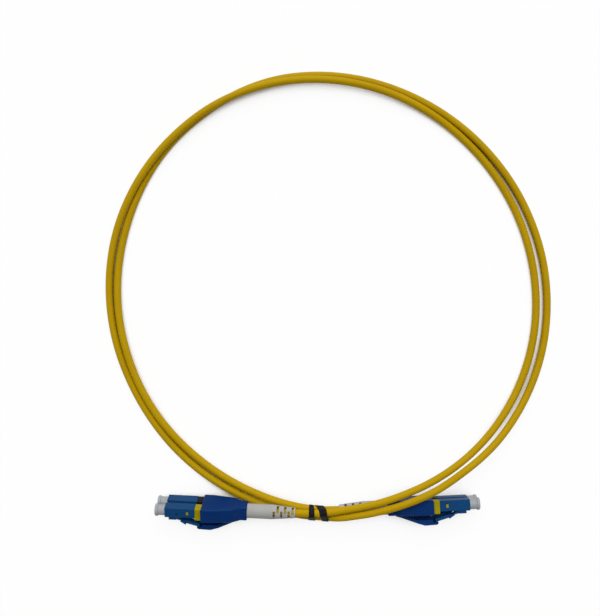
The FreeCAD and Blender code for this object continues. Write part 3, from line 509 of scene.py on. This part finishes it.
def axes_turned(heading, lift, roll):
    """3 x 3 turn: roll about X, then lift about Y, then heading about Z, in degrees."""
    a, b, c = np.radians([heading, -lift, roll])
    about_z = np.array([[math.cos(a), -math.sin(a), 0], [math.sin(a), math.cos(a), 0], [0, 0, 1]])
    about_y = np.array([[math.cos(b), 0, math.sin(b)], [0, 1, 0], [-math.sin(b), 0, math.cos(b)]])
    about_x = np.array([[1, 0, 0], [0, math.cos(c), -math.sin(c)], [0, math.sin(c), math.cos(c)]])
    return about_z @ about_y @ about_x


connector_places = {
    "left": (lowest + [-65.40, 2.11, 6.27], axes_turned(-2.14, 2.98, 109.4)),
    "right": (lowest + [57.47, 3.47, 6.25], axes_turned(182.78, 0.0, -90.0)),
}


def on_connector(end, points):
    """Points of a connector's own frame, in mm, where its X axis runs back along the cable."""
    origin, turn = connector_places[end]
    return origin + np.asarray(points, float) @ turn.T


# %% [markdown]
# ## Where the strands lie
#
# The two turns lie on the floor side by side, except where one climbs over the other, over a boot
# or over a connector. Each row of a turn's table is a station: its angle round the ring in
# degrees, how far outside the ring it lies, and how high the middle of the cable is, in mm. A
# cable could be dropped on the table by a simulation, but then it wouldn't cross where the real
# one does. The other tables are points given near the connectors, counted from the lowest point of
# the ring.

# %% Stations of the two turns
first_turn = [
    (300, -4.0, 11.2), (315, -2.75, 6.2), (333, -1.7, 1.5), (350, -1.62, 1.5), (370, -2.02, 1.5),
    (385, -2.17, 1.5), (400, -2.45, 1.5), (410, -2.4, 1.7), (420, -2.48, 2.6), (430, -2.43, 3.5),
    (440, -2.3, 3.85), (450, -2.03, 4.1), (460, -1.5, 4.3), (470, -1.05, 4.45), (480, -0.56, 4.55),
    (486, -0.62, 4.6), (492, -0.42, 4.65), (498, -0.15, 4.5), (504, 0.17, 4.3), (510, 0.45, 4.0),
    (516, 0.93, 3.4), (522, 1.31, 2.7), (528, 1.6, 2.1), (534, 1.68, 1.7), (540, 1.68, 1.5),
    (552, 1.77, 1.5), (558, 1.57, 1.5), (564, 1.48, 1.5), (570, 1.42, 1.5), (576, 1.6, 1.5),
    (582, 1.78, 1.5), (590, 1.88, 1.5), (600, 1.9, 1.6), (608, 1.7, 1.6)]
second_turn = [
    (315, 1.0, 8.6), (330, 2.4, 3.2), (345, 2.98, 1.5), (360, 2.72, 1.5), (370, 2.57, 1.5),
    (380, 2.13, 1.5), (390, 1.77, 1.5), (400, 1.27, 1.5), (410, 0.87, 1.5), (420, 0.45, 1.5),
    (430, 0.2, 1.5), (440, 0.25, 1.5), (450, 0.3, 1.5), (460, 0.6, 1.5), (470, 0.5, 1.5),
    (480, -0.65, 1.5), (486, -0.75, 1.5), (492, -0.8, 1.5), (498, -0.95, 1.5), (504, -1.25, 1.5),
    (510, -1.65, 1.5), (516, -1.88, 1.5), (522, -1.95, 1.5), (528, -1.95, 1.5), (534, -1.78, 1.6),
    (540, -1.7, 1.9), (546, -1.62, 2.3), (552, -1.6, 2.7), (558, -1.6, 3.0), (564, -1.45, 3.1),
    (570, -1.4, 3.1), (576, -1.3, 3.0), (582, -1.42, 2.6), (590, -1.62, 2.1), (602, -1.7, 2.1)]
first_rise = [(-3.1, -0.1, 9.75), (16.4, 3.25, 11.6), (29.1, 7.3, 12.6)]
under_and_over = [
    (-21.5, 0.65, 2.1), (-12.0, -1.85, 3.6), (-3.1, -2.35, 4.6), (5.2, -1.95, 9.3),
    (10.5, -0.95, 10.3), (17.5, 0.3, 11.5), (28.5, 3.45, 13.4), (38.2, 7.35, 14.4),
    (47.5, 11.95, 13.2)]
last_rise = [(-27.6, 6.2, 3.6), (-16.0, 2.7, 5.3), (-5.0, 0.85, 6.15)]
print("stations:", len(first_turn), "and", len(second_turn))

# %% [markdown]
# ## From stations to points
#
# A spline of order 3 is pulled towards its points without touching them: it only touches
# the middles of the lines between them. A ring through points on a circle would come out
# too small. So the points stand further out by the share that the spline cuts off, and
# about thirty a turn are enough.

# %% The cord's points
oval, oval_heading = 1.8, 120


def turn_points(stations, count):
    """Points of one turn. At angle t the ring reaches its radius + oval cos(2 (t - heading))
    mm plus the station's own offset, and the point stands 1 / cos(half a step) further out."""
    known, outward, height = np.transpose(stations)
    angle = np.linspace(known[0], known[-1], count)
    half = np.radians(angle[1] - angle[0]) / 2
    ring = loop_radius + oval * np.cos(np.radians(2 * (angle - oval_heading)))
    ring = (ring + np.interp(angle, known, outward)) / math.cos(half)
    way = np.stack([np.cos(np.radians(angle)), np.sin(np.radians(angle)), np.zeros(count)], 1)
    return loop_middle + way * ring[:, None] + np.outer(np.interp(angle, known, height), [0, 0, 1])


inside = [[37.1, 0, 0], [46.6, 0, 0], [55.6, 0, 0]]
route = np.vstack([
    on_connector("left", inside),
    lowest + np.array(first_rise), turn_points(first_turn, 30),
    lowest + np.array(under_and_over), turn_points(second_turn, 28),
    lowest + np.array(last_rise),
    on_connector("right", inside[::-1])])
print("points of the cord:", len(route))

# %% [markdown]
# ## One spline from end to end
#
# The real cable is one length of something stiff that never kinks. It could be drawn
# through hundreds of points, but that looks like bent wire. A NURBS spline of order 3
# bends smoothly through a few. Order and end points are set after the points are added,
# because before that Blender keeps the order at 2, which is straight lines.

# %% The cord's line
cord = bpy.data.objects.new("cord", bpy.data.curves.new("cord", "CURVE"))
cord.data.dimensions = "3D"
line = cord.data.splines.new("NURBS")
line.points.add(len(route) - 1)
line.points.foreach_set("co", np.c_[route * MM, np.ones(len(route))].ravel())
line.use_endpoint_u = True
line.order_u = 3
line.resolution_u = 12
bpy.context.scene.collection.objects.link(cord)
bpy.context.view_layer.update()
bare = bpy.data.meshes.new_from_object(cord.evaluated_get(bpy.context.evaluated_depsgraph_get()))
trail = np.zeros(len(bare.vertices) * 3)
bare.vertices.foreach_get("co", trail)
trail = trail.reshape(-1, 3) / MM
steps = np.linalg.norm(np.diff(trail, axis=0), axis=1)
print("cord length in mm:", steps.sum().round(1), "lowest axis:", trail[:, 2].min().round(2))

# %% [markdown] ## The jacket round the line  The cable is 3 mm thick all along. A circle
# could be carried along the line by hand, but a curve object has a round bevel of its
# own, and stays easy to change.

# %% The cord's thickness
cord_radius = 1.5
cord.data.bevel_depth = cord_radius * MM
cord.data.bevel_resolution = 5
cord.data.use_fill_caps = True
cord.data.materials.append(finishes["cable"])
print("cord thickness in mm:", 2 * cord_radius)

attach(cord, "cord")
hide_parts("cable_jacket")

# %% [markdown]
# ## The tie: what it is wound on
#
# The tie is one soft black strip, wound more than one and a half times round the three
# strands between the boots. It could be two rings, but the real strip leans from one band
# to the next. It lies on an imagined sleeve, drawn tight round the strands: at each place
# along the cable, the sleeve's outline is the line that a rubber band would take round
# three circles.

# %% Strands under the tie
tie_start = loop_middle[0] - 6.4
tie_middle, tie_reach = tie_start + 3, 16
low_down = trail[:, 1] < loop_middle[1] - 70
passing = np.flatnonzero((np.abs(trail[:, 0] - tie_middle) < tie_reach) & low_down)
strands = [trail[run] for run in np.split(passing, np.flatnonzero(np.diff(passing) > 1) + 1)]
strands = [run[np.argsort(run[:, 0])] for run in strands]
print("strands through the tie:", len(strands))


# %% Sleeve round the strands
def sleeve(across, samples=240):
    """Outlines round the strands at the places across, each walked evenly from +Y over the top.

    For each direction the outline's point is that of the strand that lies furthest that way,
    plus the cord's radius; np.interp spreads the points evenly along it.
    """
    turn = np.linspace(0, 2 * np.pi, 721)
    way = np.stack([np.cos(turn), np.sin(turn)], 1)
    outlines = []
    for x in across:
        spots = np.array([[np.interp(x, run[:, 0], run[:, axis]) for axis in (1, 2)]
                          for run in strands])
        furthest = np.argmax(spots @ way.T, axis=0)
        ring = spots[furthest] + way * cord_radius
        walked = np.r_[0, np.cumsum(np.linalg.norm(np.diff(ring, axis=0), axis=1))]
        even = np.linspace(0, walked[-1], samples, endpoint=False)
        outlines.append(np.stack([np.interp(even, walked, side) for side in ring.T], 1))
    return np.array(outlines)


planes = np.linspace(tie_start - 4, tie_start + 12, 81)
rings = sleeve(planes)
at_start = np.abs(planes - tie_start).argmin()
girth = np.linalg.norm(np.diff(rings[at_start], axis=0), axis=1).sum()
print("way round the strands in mm:", girth.round(1))

# %% [markdown]
# ## The tie: its path
#
# The strip starts on the side of the picture's top. It goes straight over the strands,
# leans to the right while it passes under them, comes over them again at a slant, and
# ends underneath. A screw line would lean all the time. So a table says how far right
# the strip is after so many turns, and a second table how wide it is. Both are rounded
# off, because cloth doesn't bend at a point.

# %% The strip's path
tie_thickness = 0.24
around = np.linspace(0.0, 1.7, 320)
leans = [(-1, 0), (0.5, 0), (0.65, 0.15), (0.8, 1.0), (0.9, 2.1), (1.0, 3.3), (1.06, 3.75),
         (1.2, 4.35), (1.35, 4.95), (1.5, 5.45), (1.7, 5.7), (3, 5.7)]
widths = [(-1, 1.8), (0, 1.8), (0.25, 2.3), (0.5, 2.7), (1.0, 3.1), (1.3, 2.9), (1.5, 2.7),
          (3, 2.7)]


def softened(table):
    """Value of a table at each place of the path: straight lines between its rows, then an
    average over a tenth of a turn, weighted to its middle, which rounds the corners off."""
    wide = np.linspace(-0.2, 1.9, 601)
    weights = np.hanning(31)
    straight = np.interp(wide, *np.transpose(table))
    return np.interp(around, wide, np.convolve(straight, weights / weights.sum(), "same"))


tie_x = tie_start + softened(leans)
print("the strip moves right by", (tie_x[-1] - tie_x[0]).round(2), "mm")

# %% [markdown]
# ## The tie: its surface
#
# Across its path the strip is a flat rectangle with round corners. A plane with a
# Solidify modifier would do, but its corners are sharp. Here the profile is a formula,
# half a width to the side and half a thickness out, and it is carried along the path on
# the sleeve as one array of points.


# %% Points of the strip
def on_sleeve(rows, columns):
    """Point of the sleeve between four known ones: each of the four counts by how near it is."""
    row = np.clip(np.floor(rows).astype(int), 0, len(planes) - 2)
    column = np.floor(columns).astype(int)
    down, right = (rows - row)[..., None], (columns - column)[..., None]
    here, after = column % rings.shape[1], (column + 1) % rings.shape[1]
    near = rings[row, here] * (1 - right) + rings[row, after] * right
    far = rings[row + 1, here] * (1 - right) + rings[row + 1, after] * right
    return near * (1 - down) + far * down


def signed_power(wave, power):
    """A wave's size to a power, with its sign kept: under 1, it squares the wave off."""
    return np.sign(wave) * np.abs(wave) ** power


def tie_strip(side_power=0.35, out_power=0.5):
    """Points of the strip. Across the path lies a flat profile: half a width times the cosine
    to side_power to the side, and half a thickness times the sine to out_power out, which is
    a rectangle with round corners. Its side direction leans with the path."""
    rate = np.gradient(tie_x, around) / girth
    lean = np.hypot(1, rate)
    corner = np.linspace(0, 2 * np.pi, 24, endpoint=False)
    side = signed_power(np.cos(corner), side_power) * softened(widths)[:, None] / 2
    out = (1 + signed_power(np.sin(corner), out_power)) * tie_thickness / 2
    place_x = tie_x[:, None] + side / lean[:, None]
    row = (place_x - planes[0]) / (planes[1] - planes[0])
    column = (around[:, None] - side * (rate / lean)[:, None] / girth) % 1.0 * rings.shape[1]
    ahead = on_sleeve(row, column + 3.0) - on_sleeve(row, column - 3.0)
    outward = np.stack([ahead[..., 1], -ahead[..., 0]], -1)
    outward /= np.linalg.norm(outward, axis=-1, keepdims=True)
    lifted = on_sleeve(row, column) + outward * out[None, :, None]
    return np.concatenate([place_x[..., None], lifted], -1)


strip_points = tie_strip()
print("points of the strip:", strip_points.shape[0], "rows of", strip_points.shape[1])

# %% [markdown]
# ## From points to a mesh
#
# The points lie in rows, one row round the strip after another. Quads join each row to
# the next, and one face closes each end, so the strip is a closed body. Whether its faces
# point in or out depends on which way the rows run, so Blender is asked to turn them out.


# %% The strip's surface
def closed_strip(name, grid):
    """Mesh of rows of points in mm, each row a closed loop: point j of row i joins point
    j + 1 and the same two of row i + 1, and a face closes the first and the last row."""
    rows, columns = grid.shape[:2]
    number = np.arange(rows * columns).reshape(rows, columns)
    looped = np.c_[number, number[:, :1]]
    sides = [looped[:-1, :-1], looped[:-1, 1:], looped[1:, 1:], looped[1:, :-1]]
    quads = np.stack(sides, -1).reshape(-1, 4).tolist()
    mesh = bpy.data.meshes.new(name)
    ends = [number[0, ::-1].tolist(), number[-1].tolist()]
    mesh.from_pydata((grid.reshape(-1, 3) * MM).tolist(), [], quads + ends)
    mesh.shade_smooth()
    piece = bpy.data.objects.new(name, mesh)
    bpy.context.scene.collection.objects.link(piece)
    return piece


def face_outwards(piece):
    """Turns every face of a closed mesh to the outside."""
    work = bmesh.new()
    work.from_mesh(piece.data)
    bmesh.ops.recalc_face_normals(work, faces=work.faces)
    work.to_mesh(piece.data)
    work.free()


tie = closed_strip("tie", strip_points)
face_outwards(tie)
tie.data.materials.append(finishes["tie"])
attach(tie, "cord")
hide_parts("cable_tie")
print("tie faces:", len(tie.data.polygons))

# %% [markdown]
# ## Copies of the springs
#
# Behind each ferrule sits a small steel spring. When the plug goes into its socket, the ferrule is
# pushed back by up to 0.8 mm and the spring gets shorter. A stiff copy of the spring would then
# stick through the flange. Here each spring is a copy of its CAD mesh with its doubled points
# merged, which takes the stiff one's place, and its length along the cable is measured.


def giving_spring(end, level):
    """Merged copy of one spring, which takes the stiff one's place; returns its length in mm along
    the connector's X axis."""
    stiff = frame["nodes"][f"{end}_ferrule_spring_{level}"]
    coil = bpy.data.objects.new(f"{end}_spring_{level}", stiff.data.copy())
    bpy.context.scene.collection.objects.link(coil)
    work = bmesh.new()
    work.from_mesh(coil.data)
    bmesh.ops.remove_doubles(work, verts=work.verts, dist=0.0001 * MM)
    work.to_mesh(coil.data)
    work.free()
    points = np.zeros(len(coil.data.vertices) * 3)
    coil.data.vertices.foreach_get("co", points)
    origin, turn = connector_places[end]
    back = (points.reshape(-1, 3) / MM - origin) @ turn[:, 0]
    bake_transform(coil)
    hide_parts(stiff.name)
    return back.max() - back.min()


lengths = [giving_spring(end, level) for end in ("left", "right") for level in ("upper", "lower")]
print("spring lengths at rest in mm:", np.round(lengths, 2))
